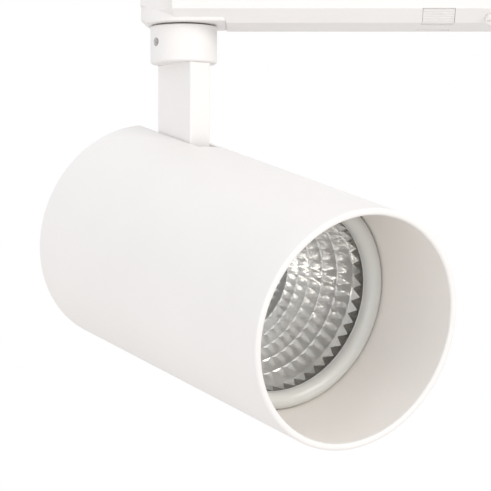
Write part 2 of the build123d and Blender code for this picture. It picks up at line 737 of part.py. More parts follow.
def make_heat_sink():
    """Finned block behind the light source, with an open channel for the arm."""
    plate = shaft(TUBE_BORE_R, SINK_FRONT, SINK_FRONT + SINK_PLATE)
    fins = None
    for row in range(FIN_ROWS):
        y = FIRST_FIN + FIN_PITCH * row
        for side in (-1, 1):
            edge = side * y
            fin = slab(SINK_FRONT, SINK_END, edge - FIN_THICKNESS / 2, edge + FIN_THICKNESS / 2,
                       -TUBE_BORE_R, TUBE_BORE_R)
            fins = fin if fins is None else fins + fin
    for y in (-LOW_FIN_PITCH, 0.0, LOW_FIN_PITCH):
        half = FIN_THICKNESS / 2
        fins += slab(SINK_FRONT, SINK_END, y - half, y + half, -TUBE_BORE_R, CHEEK_LOW - 0.5)
    sink = plate + (fins & shaft(TUBE_BORE_R - 1.2, SINK_FRONT, SINK_END))
    for y, rise in cover_posts():
        sink += shaft(COVER_POST_R, SINK_FRONT, REAR_COVER_FRONT, y, rise)
    for y, rise in cover_posts():
        sink -= shaft(1.5, REAR_COVER_FRONT - 10, REAR_COVER_FRONT + 1, y, rise)
    for side in (-1, 1):
        sink -= cheek_blank(side)
    for y, rise in led_screw_spots():
        sink -= shaft(1.25, SINK_FRONT - 1, SINK_FRONT + 7, y, rise)
    sink -= shaft(2.6, SINK_FRONT - 1, SINK_FRONT + SINK_PLATE + 1, 0, LED_WIRE_RISE)
    return HEAD * sink


def cheek_blank(side):
    """One cheek's outline: a plate beside the arm, its front end in a groove of the sink's plate."""
    edges = (side * SINK_SLOT / 2, side * (SINK_SLOT / 2 + CHEEK))
    start = SINK_FRONT + SINK_PLATE - CHEEK_KEY
    return slab(start, SINK_END, min(edges), max(edges), CHEEK_LOW, CHEEK_HIGH)


def make_pivot_cheeks():
    """Two plates that carry the pivot bolt, one each side of the arm."""
    bore = rod_y(PIN_R, -30, 30)
    return [HEAD * (cheek_blank(side) - bore) for side in (-1, 1)]


def cover_posts():
    return ring_of(COVER_POST_RADIUS, (200, 270, 340))


def led_screw_spots():
    return ring_of(LED_SCREW_RADIUS, (0, 180))


def make_pivot_bolt():
    """Shoulder bolt through both cheeks."""
    end = CHEEK_OUT + BOLT_HEAD_HEIGHT
    bolt = rod_y(PIN_R, -CHEEK_OUT - PIVOT_NUT_HEIGHT - 0.3, CHEEK_OUT)
    head = rod_y(BOLT_HEAD_R, CHEEK_OUT, end)
    socket = Pos(0, end, 0) * Rot(90, 0, 0) * hex_prism(4.0, 0, 2.0)
    return HEAD * (bolt + head - socket)


def make_pivot_nut():
    nut = Pos(0, -CHEEK_OUT, 0) * Rot(90, 0, 0) * hex_prism(PIVOT_NUT_FLATS, 0, PIVOT_NUT_HEIGHT)
    return HEAD * (nut - rod_y(PIN_R, -30, 30))


def make_rear_cover():
    """Recessed rear disc with vent slots, notched for the arm."""
    front = REAR_COVER_FRONT - 1
    back = REAR_COVER_BACK + 1
    cover = shaft(TUBE_BORE_R, REAR_COVER_FRONT, REAR_COVER_BACK)
    cover -= slab(front, back, -SINK_SLOT / 2, SINK_SLOT / 2, REAR_COVER_SLOT_LOW, TUBE_R)
    for row in range(REAR_VENT_ROWS):
        rise = REAR_VENT_LOWEST + REAR_VENT_PITCH * row
        low = rise - REAR_VENT_HALF_HEIGHT
        high = rise + REAR_VENT_HALF_HEIGHT
        for side in (-1, 1):
            middle = side * (REAR_VENT_HALF_LENGTH + REAR_VENT_PITCH)
            cover -= slab(front, back, middle - REAR_VENT_HALF_LENGTH, middle + REAR_VENT_HALF_LENGTH,
                          low, high)
    for y, rise in cover_posts():
        cover -= shaft(REAR_SCREW_R + 0.2, front, back, y, rise)
    return HEAD * cover


def make_rear_cover_screws():
    back = REAR_COVER_BACK
    screws = []
    for y, rise in cover_posts():
        screw = shaft(REAR_SCREW_R, back - 9, back, y, rise)
        screw += shaft(REAR_SCREW_HEAD_R, back, back + REAR_SCREW_HEAD, y, rise)
        screw -= slab(back + 0.8, back + 2, y - 1.7, y + 1.7, rise - 0.35, rise + 0.35)
        screw -= slab(back + 0.8, back + 2, y - 0.35, y + 0.35, rise - 1.7, rise + 1.7)
        screws.append(HEAD * screw)
    return screws


def make_retaining_ring():
    """Rounded ring that holds the cover glass in the tube."""
    outer = TUBE_BORE_R
    back = RING_FRONT + RING_DEPTH
    seat = GLASS_FRONT
    crown = ThreePointArc((-seat + 2.0, RING_BORE_R), (-RING_FRONT, 40.9), (-seat + 2.2, outer))
    right = Polyline((-seat + 2.2, outer), (-back, outer), (-back, GLASS_R + 0.1),
                     (-seat, GLASS_R + 0.1), (-seat, RING_BORE_R), (-seat + 2.0, RING_BORE_R))
    return HEAD * turned(make_face(crown + right))


def make_cover_glass():
    glass = shaft(GLASS_R, GLASS_FRONT + GASKET_THICKNESS, GLASS_FRONT + GLASS_THICKNESS)
    edges = glass.edges().filter_by(GeomType.CIRCLE)
    return HEAD * chamfer(edges, 0.4)


def make_glass_gasket():
    """Thin flat gasket between the ring's lip and the glass."""
    gasket = shaft(GLASS_R, GLASS_FRONT, GLASS_FRONT + GASKET_THICKNESS)
    gasket -= shaft(RING_BORE_R + 0.1, GLASS_FRONT - 1, GLASS_FRONT + 1)
    return HEAD * gasket


def bowl_depth(radius):
    """Depth behind the rim at which the reflector's inside has this radius."""
    power = REFLECTOR_BULGE
    neck = REFLECTOR_NECK_R ** power
    part = (radius ** power - neck) / (REFLECTOR_MOUTH_R ** power - neck)
    bottom = HOLDER_FRONT - REFLECTOR_WALL
    return bottom - (bottom - REFLECTOR_FRONT) * part


def make_reflector():
    """Deep bowl with a flange against the glass."""
    front = REFLECTOR_FRONT
    wall = REFLECTOR_WALL
    thin = 0.6 * wall
    steps = 6
    radii = [REFLECTOR_NECK_R + (REFLECTOR_MOUTH_R - REFLECTOR_NECK_R) * i / steps for i in range(steps + 1)]
    inside = [(-bowl_depth(r), r) for r in radii]
    outside = [(x - wall, r + thin) for x, r in inside]
    flange = Polyline((-front, REFLECTOR_MOUTH_R), (-front, GLASS_R), (-front - wall, GLASS_R), outside[-1])
    neck = Line(inside[0], outside[0])
    return HEAD * turned(make_face(Spline(*inside) + flange + Spline(*outside) + neck))


def make_led_holder():
    """Round holder that clamps the light source to the heat sink."""
    holder = shaft(HOLDER_R, HOLDER_FRONT, SINK_FRONT)
    holder -= shaft(REFLECTOR_NECK_R + 0.2, HOLDER_FRONT - 1, SINK_FRONT + 1)
    half = COB_SIDE / 2 + 0.2
    holder -= slab(HOLDER_FRONT + 2.0, SINK_FRONT + 1, -half, half, -half, half)
    for y, rise in led_screw_spots():
        holder -= shaft(LED_SCREW_R + 0.4, HOLDER_FRONT - 1, SINK_FRONT + 1, y, rise)
    holder -= slab(HOLDER_FRONT + 1.4, SINK_FRONT + 1, -3, 3, half - 1, HOLDER_R + 1)
    return HEAD * holder


def make_led_screws():
    screws = []
    for y, rise in led_screw_spots():
        screw = shaft(LED_SCREW_R, HOLDER_FRONT, SINK_FRONT + 6, y, rise)
        screw += shaft(2 * LED_SCREW_R, HOLDER_FRONT - 1.6, HOLDER_FRONT, y, rise)
        screw -= slab(HOLDER_FRONT - 2, HOLDER_FRONT - 1, y - 1.6, y + 1.6, rise - 0.3, rise + 0.3)
        screws.append(HEAD * screw)
    return screws


def make_cob_substrate():
    half = COB_SIDE / 2
    back = SINK_FRONT - THERMAL_PAD
    return HEAD * slab(back - COB_THICKNESS, back, -half, half, -half, half)


def make_cob_emitter():
    """Yellow phosphor disc on the light source."""
    back = SINK_FRONT - THERMAL_PAD - COB_THICKNESS
    return HEAD * shaft(EMITTER_R, back - EMITTER_THICKNESS, back)


def make_thermal_pad():
    half = COB_SIDE / 2
    return HEAD * slab(SINK_FRONT - THERMAL_PAD, SINK_FRONT, -half, half, -half, half)


def make_led_wires():
    """Two short wires from the holder through the heat sink to the arm slot."""
    start = SINK_FRONT - 0.4
    end = SINK_FRONT + SINK_PLATE + 3
    return [HEAD * shaft(LED_WIRE_R, start, end, side * 1.1, LED_WIRE_RISE) for side in (-1, 1)]


PIECES = {
    "gear_housing": make_gear_housing,
    "gear_cover": make_gear_cover,
    "cover_screws": make_cover_screws,
    "track_neck": make_track_neck,
    "phase_contacts": lambda: [contact_blade(*spot) for spot in contact_spots()[:3]],
    "neutral_contact": lambda: contact_blade(*contact_spots()[3]),
    "earth_contact": lambda: contact_blade(*contact_spots()[4]),
    "terminal_block": make_terminal_block,
    "terminal_screws": make_terminal_screws,
    "driver_board": make_driver_board,
    "driver_transformer": make_driver_transformer,
    "driver_capacitors": make_driver_capacitors,
    "driver_choke": make_driver_choke,
    "driver_posts": make_driver_posts,
    "latch_post": make_latch_post,
    "latch_spring_front": lambda: make_latch_spring(-1),
    "latch_spring_rear": lambda: make_latch_spring(1),
    "latch_front": lambda: make_latch(-1),
    "latch_rear": lambda: make_latch(1),
    "selector_knob": make_selector_knob,
    "selector_clip": make_selector_clip,
    "swivel_base": make_swivel_base,
    "base_screws": make_base_screws,
    "stop_pin": make_stop_pin,
    "pan_collar": make_pan_collar,
    "set_screw": make_set_screw,
    "pan_stem": make_pan_stem,
    "stop_washer": make_stop_washer,
    "wave_washer": make_wave_washer,
    "stem_nut": make_stem_nut,
    "arm": make_arm,
    "arm_lead": make_arm_lead,
    "friction_washers": make_friction_washers,
    "head_tube": make_head_tube,
    "heat_sink": make_heat_sink,
    "pivot_cheeks": make_pivot_cheeks,
    "pivot_bolt": make_pivot_bolt,
    "pivot_nut": make_pivot_nut,
    "rear_cover": make_rear_cover,
    "rear_cover_screws": make_rear_cover_screws,
    "retaining_ring": make_retaining_ring,
    "glass_gasket": make_glass_gasket,
    "cover_glass": make_cover_glass,
    "reflector": make_reflector,
    "led_holder": make_led_holder,
    "led_screws": make_led_screws,
    "cob_substrate": make_cob_substrate,
    "cob_emitter": make_cob_emitter,
    "thermal_pad": make_thermal_pad,
    "led_wires": make_led_wires,
}

os.makedirs("parts", exist_ok=True)
for name, maker in PIECES.items():
    made = maker()
    if isinstance(made, list):
        made = Compound(children=made)
    export_step(made, f"parts/{name}.step")
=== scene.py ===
import bmesh
import bpy
import json
from math import asin, cos, pi, radians, sin
from mathutils import Matrix, Vector

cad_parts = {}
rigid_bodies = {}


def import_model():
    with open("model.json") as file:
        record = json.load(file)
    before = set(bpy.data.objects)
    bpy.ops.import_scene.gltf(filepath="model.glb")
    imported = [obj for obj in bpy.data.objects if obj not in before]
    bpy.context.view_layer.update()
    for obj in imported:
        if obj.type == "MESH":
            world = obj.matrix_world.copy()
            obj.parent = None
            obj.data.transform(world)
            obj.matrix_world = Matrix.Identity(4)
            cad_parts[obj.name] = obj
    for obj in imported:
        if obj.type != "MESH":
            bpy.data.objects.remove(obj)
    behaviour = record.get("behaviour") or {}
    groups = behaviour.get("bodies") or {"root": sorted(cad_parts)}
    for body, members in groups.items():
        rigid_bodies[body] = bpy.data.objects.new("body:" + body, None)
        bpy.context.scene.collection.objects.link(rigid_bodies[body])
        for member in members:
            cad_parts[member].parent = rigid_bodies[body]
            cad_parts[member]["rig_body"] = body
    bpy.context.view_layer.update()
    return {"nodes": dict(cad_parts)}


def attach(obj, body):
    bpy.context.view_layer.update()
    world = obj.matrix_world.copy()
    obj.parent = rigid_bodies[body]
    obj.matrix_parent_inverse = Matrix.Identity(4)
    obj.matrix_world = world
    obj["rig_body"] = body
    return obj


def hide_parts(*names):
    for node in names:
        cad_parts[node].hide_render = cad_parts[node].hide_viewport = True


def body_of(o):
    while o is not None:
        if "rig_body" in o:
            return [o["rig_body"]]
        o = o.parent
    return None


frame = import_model()
nodes = frame["nodes"]
MM = 0.001

# ------------------------------------------------------------------ dimensions, in millimetres
# depths in the head are counted from the rim, and angles are in degrees
PIVOT_Z = -108.8
PIVOT_RISE = 22.0         # pivot above the tube's axis
PIVOT_FROM_FRONT = 128.7
PAN_ANGLE = -54.49
TILT_ANGLE = 14.69

POCKET_RIGHT = 18.5       # the box's pocket for the swivel base
POCKET_TOP = -30.5
POCKET_ROUND = 0.05

TUBE_R = 47.5
TUBE_BORE_R = 44.7
TUBE_LENGTH = 161.5
TUBE_EDGE_ROUND = 0.35
TUBE_STATIONS = (80.0, 50.0, 20.0)
TUBE_COLUMNS = 248        # round the wall, the slot left out
RIM_ROUND = 1.18
RIM_STEPS = 8
SLOT_FRONT = 115.7
SLOT_HALF = 5.5
SLOT_COLUMNS = 8

RING_FRONT = 42.5
RING_BACK = 50.5
RING_BORE_R = 37.8
RING_CROWN_R = 40.9
RING_LIP = 0.7            # height of the crown's end at the bore
RING_FOOT = 2.2           # and at the tube's wall
RING_CROWN_STEPS = 28
RING_EDGE_ROUND = 0.15
SEAT_GAP = 0.1
LATHE_COLUMNS = 240

GLASS_SEAT = 47.5
GLASS_FRONT = 48.0
GLASS_BACK = 50.5
GLASS_R = 40.5
GLASS_EDGE = 0.4
GLASS_COLUMNS = 160

BOWL_BACK = 90.3
BOWL_DEPTH = 39.8
BOWL_MOUTH_R = 39.6
BOWL_NECK_R = 9.0
BOWL_BULGE = 3.5
BOWL_WALL = 1.2
BOWL_BACK_STEPS = 10
FLANGE_GAP = 0.2
FACET_COLUMNS = 46
FACET_ROWS = 11
FACET_CUTS = 6            # quads along each side of a facet
FACET_CROWN = 0.035
FACET_STEP = 0.75         # width of the crescent step between two rows
STEP_SLOPE = 0.45         # how far a step leans towards the mouth
TOOTH_DEPTH = 4.5         # the last row's pointed facets
TOOTH_RISE = 0.7
SAME_PLACE = 0.001        # vertices closer than this are one
SAME_CAD_PLACE = 0.002

HEAD = (Matrix.Translation((0, 0, PIVOT_Z * MM)) @ Matrix.Rotation(radians(PAN_ANGLE), 4, "Z")
        @ Matrix.Rotation(radians(TILT_ANGLE), 4, "Y"))


# ------------------------------------------------------------------ node graphs
class Graph:
    """A material's node tree with one Principled shader, built by short calls."""

    def __init__(self, name):
        self.material = bpy.data.materials.new(name)
        self.material.use_nodes = True
        self.tree = self.material.node_tree
        self.tree.nodes.clear()
        self.output = self.add("ShaderNodeOutputMaterial")
        self.shader = self.add("ShaderNodeBsdfPrincipled")
        self.link(self.shader.outputs["BSDF"], self.output.inputs["Surface"])
        self.place = self.add("ShaderNodeTexCoord").outputs["Object"]

    def add(self, kind, **settings):
        node = self.tree.nodes.new(kind)
        for key, value in settings.items():
            setattr(node, key, value)
        return node

    def link(self, source, target):
        self.tree.links.new(source, target)

    def put(self, **values):
        for key, value in values.items():
            self.shader.inputs[key.replace("_", " ")].default_value = value

    def stretched(self, scale):
        mapping = self.add("ShaderNodeMapping")
        mapping.inputs["Scale"].default_value = scale
        self.link(self.place, mapping.inputs["Vector"])
        return mapping.outputs["Vector"]

    def noise(self, scale, detail=2.0, rough=0.5, vector=None):
        node = self.add("ShaderNodeTexNoise")
        node.inputs["Scale"].default_value = scale
        node.inputs["Detail"].default_value = detail
        node.inputs["Roughness"].default_value = rough
        self.link(vector or self.place, node.inputs["Vector"])
        return node.outputs["Fac"]

    def voronoi(self, scale, feature="F1", vector=None):
        node = self.add("ShaderNodeTexVoronoi", feature=feature)
        node.inputs["Scale"].default_value = scale
        self.link(vector or self.place, node.inputs["Vector"])
        return node.outputs["Distance"]

    def span(self, source, low, high, to_low, to_high):
        node = self.add("ShaderNodeMapRange")
        self.link(source, node.inputs["Value"])
        ends = {"From Min": low, "From Max": high, "To Min": to_low, "To Max": to_high}
        for key, value in ends.items():
            node.inputs[key].default_value = value
        return node.outputs["Result"]

    def maths(self, operation, first, second):
        node = self.add("ShaderNodeMath", operation=operation)
        for socket, value in zip(node.inputs, (first, second)):
            if isinstance(value, (int, float)):
                socket.default_value = value
            else:
                self.link(value, socket)
        return node.outputs[0]

    def blend(self, factor, first, second):
        node = self.add("ShaderNodeMix", data_type="RGBA")
        self.link(factor, node.inputs[0])
        for socket, value in ((node.inputs[6], first), (node.inputs[7], second)):
            if isinstance(value, tuple):
                socket.default_value = (*value, 1.0)
            else:
                self.link(value, socket)
        return node.outputs[2]

    def bump(self, height, strength, distance, normal=None):
        node = self.add("ShaderNodeBump")
        node.inputs["Strength"].default_value = strength
        node.inputs["Distance"].default_value = distance * MM
        self.link(height, node.inputs["Height"])
        if normal:
            self.link(normal, node.inputs["Normal"])
        return node.outputs["Normal"]

    def edges(self, radius, low, high):
        """1 along worn outer edges, 0 on flat faces."""
        soft = self.add("ShaderNodeBevel", samples=4)
        soft.inputs["Radius"].default_value = radius * MM
        plain = self.add("ShaderNodeNewGeometry").outputs["Normal"]
        dot = self.add("ShaderNodeVectorMath", operation="DOT_PRODUCT")
        self.link(soft.outputs["Normal"], dot.inputs[0])
        self.link(plain, dot.inputs[1])
        return self.span(dot.outputs["Value"], high, low, 0.0, 1.0)

    def finish(self, colour, roughness, normal=None):
        self.link(colour, self.shader.inputs["Base Color"])
        self.link(roughness, self.shader.inputs["Roughness"])
        if normal:
            self.link(normal, self.shader.inputs["Normal"])
        return self.material


def scaled(colour, factor):
    return tuple(min(1.0, part * factor) for part in colour)


def coated(name, colour, rough, grain, height, wear=0.0, mottle=0.02):
    """Paint or moulded plastic: a fine skin over a soft orange peel, faint mottling, rubbed edges."""
    g = Graph(name)
    g.put(Specular_IOR_Level=0.5)
    skin = g.noise(1 / (grain * MM), 3.0, 0.6)
    peel = g.noise(0.22 / (grain * MM), 2.0)
    cloud = g.noise(14.0, 4.0, 0.6)
    darker, lighter = scaled(colour, 1 - mottle), scaled(colour, 1 + mottle)
    tone = g.blend(g.span(cloud, 0.3, 0.7, 0.0, 1.0), darker, lighter)
    tone = g.blend(g.span(skin, 0.35, 0.7, 0.0, 0.10), tone, scaled(colour, 0.82))
    if wear:
        patches = g.span(g.noise(90.0, 4.0, 0.7), 0.42, 0.62, 0.0, wear)
        rub = g.maths("MULTIPLY", g.edges(0.7, 0.86, 0.995), patches)
        tone = g.blend(rub, tone, scaled(colour, 0.70))
    broad = g.span(cloud, 0.25, 0.75, rough - 0.05, rough + 0.06)
    dull = g.maths("ADD", broad, g.span(skin, 0.3, 0.7, -0.03, 0.04))
    relief = g.bump(peel, 0.35, height * 1.6)
    relief = g.bump(skin, 0.5, height, relief)
    return g.finish(tone, dull, relief)


def metal(name, colour, rough, stretch=(1, 1, 1), grain=0.3, height=0.01, metallic=1.0):
    """Bare or plated metal with a directional grain and slight stains."""
    g = Graph(name)
    g.put(Metallic=metallic)
    lines = g.noise(1 / (grain * MM), 3.0, 0.65, g.stretched(stretch))
    cloud = g.noise(60.0, 4.0, 0.6)
    tone = g.blend(g.span(cloud, 0.3, 0.75, 0.0, 1.0), colour, scaled(colour, 0.88))
    tone = g.blend(g.span(lines, 0.3, 0.75, 0.0, 0.25), tone, scaled(colour, 0.7))
    broad = g.span(cloud, 0.25, 0.75, rough - 0.06, rough + 0.08)
    dull = g.maths("ADD", broad, g.span(lines, 0.3, 0.7, -0.04, 0.05))
    return g.finish(tone, dull, g.bump(lines, 0.4, height))


def board_material():
    """Green circuit board with tracks and pads under the lacquer."""
    g = Graph("board_lacquer")
    cells = g.voronoi(420.0, "DISTANCE_TO_EDGE")
    tracks = g.span(cells, 0.05, 0.075, 1.0, 0.0)
    weave = g.noise(2500.0, 2.0)
    tone = g.blend(tracks, (0.012, 0.085, 0.035), (0.03, 0.17, 0.07))
    pads = g.span(g.voronoi(260.0), 0.10, 0.13, 1.0, 0.0)
    tone = g.blend(pads, tone, (0.62, 0.60, 0.55))
    return g.finish(tone, g.span(weave, 0.3, 0.7, 0.22, 0.34), g.bump(tracks, 0.4, 0.03))


def phosphor_material():
    """Yellow silicone over the light source, with the dies' faint grid under it."""
    g = Graph("phosphor_gel")
    g.put(Subsurface_Weight=0.2, Subsurface_Scale=0.4 * MM, Subsurface_Radius=(1.0, 0.6, 0.2))
    dies = g.add("ShaderNodeTexBrick", offset=0.0)
    dies.inputs["Scale"].default_value = 620.0
    dies.inputs["Mortar Size"].default_value = 0.06
    g.link(g.place, dies.inputs["Vector"])
    cloud = g.noise(900.0, 3.0)
    tone = g.blend(dies.outputs["Fac"], (0.90, 0.62, 0.10), (0.80, 0.50, 0.07))
    tone = g.blend(g.span(cloud, 0.3, 0.7, 0.0, 0.3), tone, (0.95, 0.70, 0.18))
    return g.finish(tone, g.span(cloud, 0.3, 0.7, 0.25, 0.4), g.bump(cloud, 0.3, 0.02))


def mirror_material():
    """Vacuum-metallised reflector: nearly a mirror, with a very fine orange peel."""
    g = Graph("mirror_coating")
    g.put(Metallic=0.66)
    skin = g.noise(2600.0, 2.0)
    cloud = g.noise(70.0, 3.0)
    tone = g.blend(g.span(cloud, 0.3, 0.7, 0.0, 1.0), (0.94, 0.93, 0.925), (0.97, 0.965, 0.96))
    return g.finish(tone, g.span(skin, 0.3, 0.7, 0.05, 0.09), g.bump(skin, 0.12, 0.01))


def glass_material():
    """Clear cover glass: see-through, with the gloss of its two faces and faint dust."""
    g = Graph("clear_pane")
    g.put(Base_Color=(1, 1, 1, 1), Metallic=0.0)
    dust = g.noise(1400.0, 4.0, 0.7)
    g.link(g.span(dust, 0.3, 0.8, 0.0, 0.06), g.shader.inputs["Roughness"])
    clear = g.add("ShaderNodeBsdfTransparent")
    clear.inputs["Color"].default_value = (0.985, 0.99, 0.985, 1.0)
    fresnel = g.add("ShaderNodeFresnel")
    fresnel.inputs["IOR"].default_value = 1.45
    mix = g.add("ShaderNodeMixShader")
    gloss = g.add("ShaderNodeBsdfGlossy")
    gloss.inputs["Color"].default_value = (0.95, 0.95, 0.95, 1.0)
    g.link(g.span(dust, 0.3, 0.8, 0.01, 0.06), gloss.inputs["Roughness"])
    g.link(fresnel.outputs[0], mix.inputs[0])
    g.link(clear.outputs[0], mix.inputs[1])
    g.link(gloss.outputs[0], mix.inputs[2])
    g.link(mix.outputs[0], g.output.inputs["Surface"])
    g.tree.nodes.remove(g.shader)
    return g.material


WHITE = (0.845, 0.828, 0.815)
FINISHES = {
    "white_coat": coated("powder_coat", WHITE, 0.42, 0.45, 0.030, wear=0.5),
    "gear_plastic": coated("moulded_plastic", (0.83, 0.81, 0.797), 0.38, 0.30, 0.016, wear=0.3),
    "dark_plastic": coated("dark_nylon", (0.035, 0.035, 0.038), 0.45, 0.25, 0.02, mottle=0.15),
    "bare_aluminium": metal("extruded_aluminium", (0.72, 0.72, 0.73), 0.38, (0.06, 1, 1)),
    "steel": metal("bright_steel", (0.56, 0.55, 0.54), 0.28, (1, 1, 0.2)),
    "zinc_screw": metal("zinc_plate", (0.66, 0.66, 0.64), 0.30, (1, 1, 1), 0.2),
    "black_steel": metal("oxide_steel", (0.03, 0.03, 0.033), 0.50, (1, 1, 1), 0.2, metallic=0.3),
    "contact_brass": metal("contact_brass_strip", (0.78, 0.56, 0.24), 0.25, (0.1, 1, 1)),
    "circuit_board": board_material(),
    "capacitor_sleeve": coated("can_sleeve", (0.03, 0.045, 0.11), 0.30, 0.3, 0.01, mottle=0.2),
    "copper_wire": metal("enamelled_copper", (0.62, 0.24, 0.09), 0.30, (1, 1, 0.1), 0.4, 0.06),
    "cable_jacket": coated("cable_sleeve", (0.75, 0.74, 0.72), 0.50, 0.25, 0.01),
    "ring_grey": coated("ring_satin", (0.69, 0.695, 0.665), 0.24, 0.35, 0.008),
    "gasket_rubber": coated("gasket_silicone", (0.85, 0.85, 0.84), 0.55, 0.2, 0.02),
    "clear_glass": glass_material(),
    "reflector_silver": mirror_material(),
    "holder_white": coated("holder_polymer", (0.80, 0.79, 0.76), 0.40, 0.25, 0.012),
    "phosphor": phosphor_material(),
    "pad_grey": coated("thermal_silicone", (0.36, 0.38, 0.40), 0.65, 0.2, 0.02, mottle=0.08),
}
# the tube's inside: the same powder coat tinted warmer, a painted stand-in for the warm light that bounces
# inside the tube
INNER_COAT_PAINTED_BOUNCE = coated("inner_coat_painted_bounce_light", (0.87, 0.835, 0.80), 0.40, 0.45, 0.030)
# the side facets of the reflector's teeth: a darker, warmer copy of the mirror metal, a painted dark
# reflection with beige patches
TOOTH_SIDES_PAINTED_REFLECTION = metal("tooth_sides_painted_dark_reflection", (0.46, 0.43, 0.39), 0.22, (1, 1, 1), 0.25, metallic=0.8)


# ------------------------------------------------------------------ meshes
def piece(name, mesh, body, slot, place=None, angle=40.0, stands_for=(), extra=()):
    """Puts a mesh in the scene with its finish, its body and the CAD nodes that it stands for.

    Extra materials follow the slot's own, for the faces with a material index above 0.
    """
    if place is not None:
        mesh.transform(place)
    for face in mesh.polygons:
        face.use_smooth = True
    mesh.set_sharp_from_angle(angle=radians(angle))
    obj = bpy.data.objects.new(name, mesh)
    bpy.context.scene.collection.objects.link(obj)
    for material in (FINISHES[slot], *extra):
        obj.data.materials.append(material)
    normals = obj.modifiers.new("normals", "WEIGHTED_NORMAL")
    normals.keep_sharp = True
    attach(obj, body)
    if stands_for:
        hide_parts(*stands_for)
    return obj


def mesh_from(bm, name):
    mesh = bpy.data.meshes.new(name)
    bm.normal_update()
    bm.to_mesh(mesh)
    bm.free()
    return mesh


def head_point(depth, radius, angle):
    """A point in the head frame: depth behind the rim, radius, and angle from the top."""
    return Vector((PIVOT_FROM_FRONT - depth, radius * sin(angle), radius * cos(angle) - PIVOT_RISE)) * MM


def arc(centre, radius, start, end, steps):
    """Points (depth, radius) along an arc, both ends included."""
    angles = [radians(start + (end - start) * i / steps) for i in range(steps + 1)]
    return [(centre[0] + radius * cos(a), centre[1] + radius * sin(a)) for a in angles]


def through(first, middle, last, steps):
    """Points of the arc through three points, both ends included."""
    (ax, ay), (bx, by), (cx, cy) = first, middle, last
    d = 2 * (ax * (by - cy) + bx * (cy - ay) + cx * (ay - by))
    a2, b2, c2 = ax * ax + ay * ay, bx * bx + by * by, cx * cx + cy * cy
    ux = (a2 * (by - cy) + b2 * (cy - ay) + c2 * (ay - by)) / d
    uy = (a2 * (cx - bx) + b2 * (ax - cx) + c2 * (bx - ax)) / d
    centre = Vector((ux, uy))
    start = Vector(first) - centre
    end = Vector(last) - centre
    turn = start.angle_signed(end)
    mid = start.angle_signed(Vector(middle) - centre)
    if mid * turn < 0:
        turn -= 2 * pi if turn > 0 else -2 * pi
    points = []
    for i in range(steps + 1):
        step = start.copy()
        step.rotate(Matrix.Rotation(-turn * i / steps, 2))
        points.append(tuple(centre + step))
    return points


def circle(bm, depth, radius, columns):
    """Vertices round the tube axis at a depth behind the rim."""
    return [bm.verts.new(head_point(depth, radius, 2 * pi * j / columns)) for j in range(columns)]


def band(bm, ring, after):
    """Quads between two rings of as many vertices."""
    for j in range(len(ring)):
        k = (j + 1) % len(ring)
        bm.faces.new((ring[j], ring[k], after[k], after[j]))


def lathe(outline):
    """A closed outline of (depth, radius) turned about the tube axis."""
    bm = bmesh.new()
    rings = [circle(bm, depth, radius, LATHE_COLUMNS) for depth, radius in outline]
    for i, ring in enumerate(rings):
        band(bm, ring, rings[(i + 1) % len(rings)])
    bmesh.ops.recalc_face_normals(bm, faces=bm.faces)
    return bm


def rounded(bm, width, segments=3, least=30.0, filter_edge=None):
    """Rounds the edges of a bmesh where its faces meet at more than the least angle."""
    sharp = [e for e in bm.edges if len(e.link_faces) == 2 and e.calc_face_angle() > radians(least)
             and (filter_edge is None or filter_edge(e))]
    bmesh.ops.bevel(bm, geom=sharp, offset=width * MM, segments=segments, profile=0.5, affect="EDGES",
                    clamp_overlap=True)
    return bm


def beside_base(edge):
    """True for an edge of the pocket that holds the swivel base."""
    middle = (edge.verts[0].co + edge.verts[1].co) / 2 / MM
    return middle.x < POCKET_RIGHT and middle.z < POCKET_TOP


def refined(name, slot, width, new_name, least=30.0):
    """A CAD node's own form with its sharp edges rounded, less so where the swivel base meets the box."""
    bm = bmesh.new()
    bm.from_mesh(nodes[name].data)
    bmesh.ops.remove_doubles(bm, verts=bm.verts, dist=SAME_CAD_PLACE * MM)
    bmesh.ops.dissolve_limit(bm, angle_limit=radians(0.4), verts=bm.verts, edges=bm.edges)
    if name in ("gear_housing", "swivel_base"):
        rounded(bm, POCKET_ROUND, 2, least, beside_base)
        rounded(bm, width, 3, least, lambda edge: not beside_base(edge))
    else:
        rounded(bm, width, least=least)
    return piece(new_name, mesh_from(bm, new_name), body_of(nodes[name])[0], slot, stands_for=(name,))


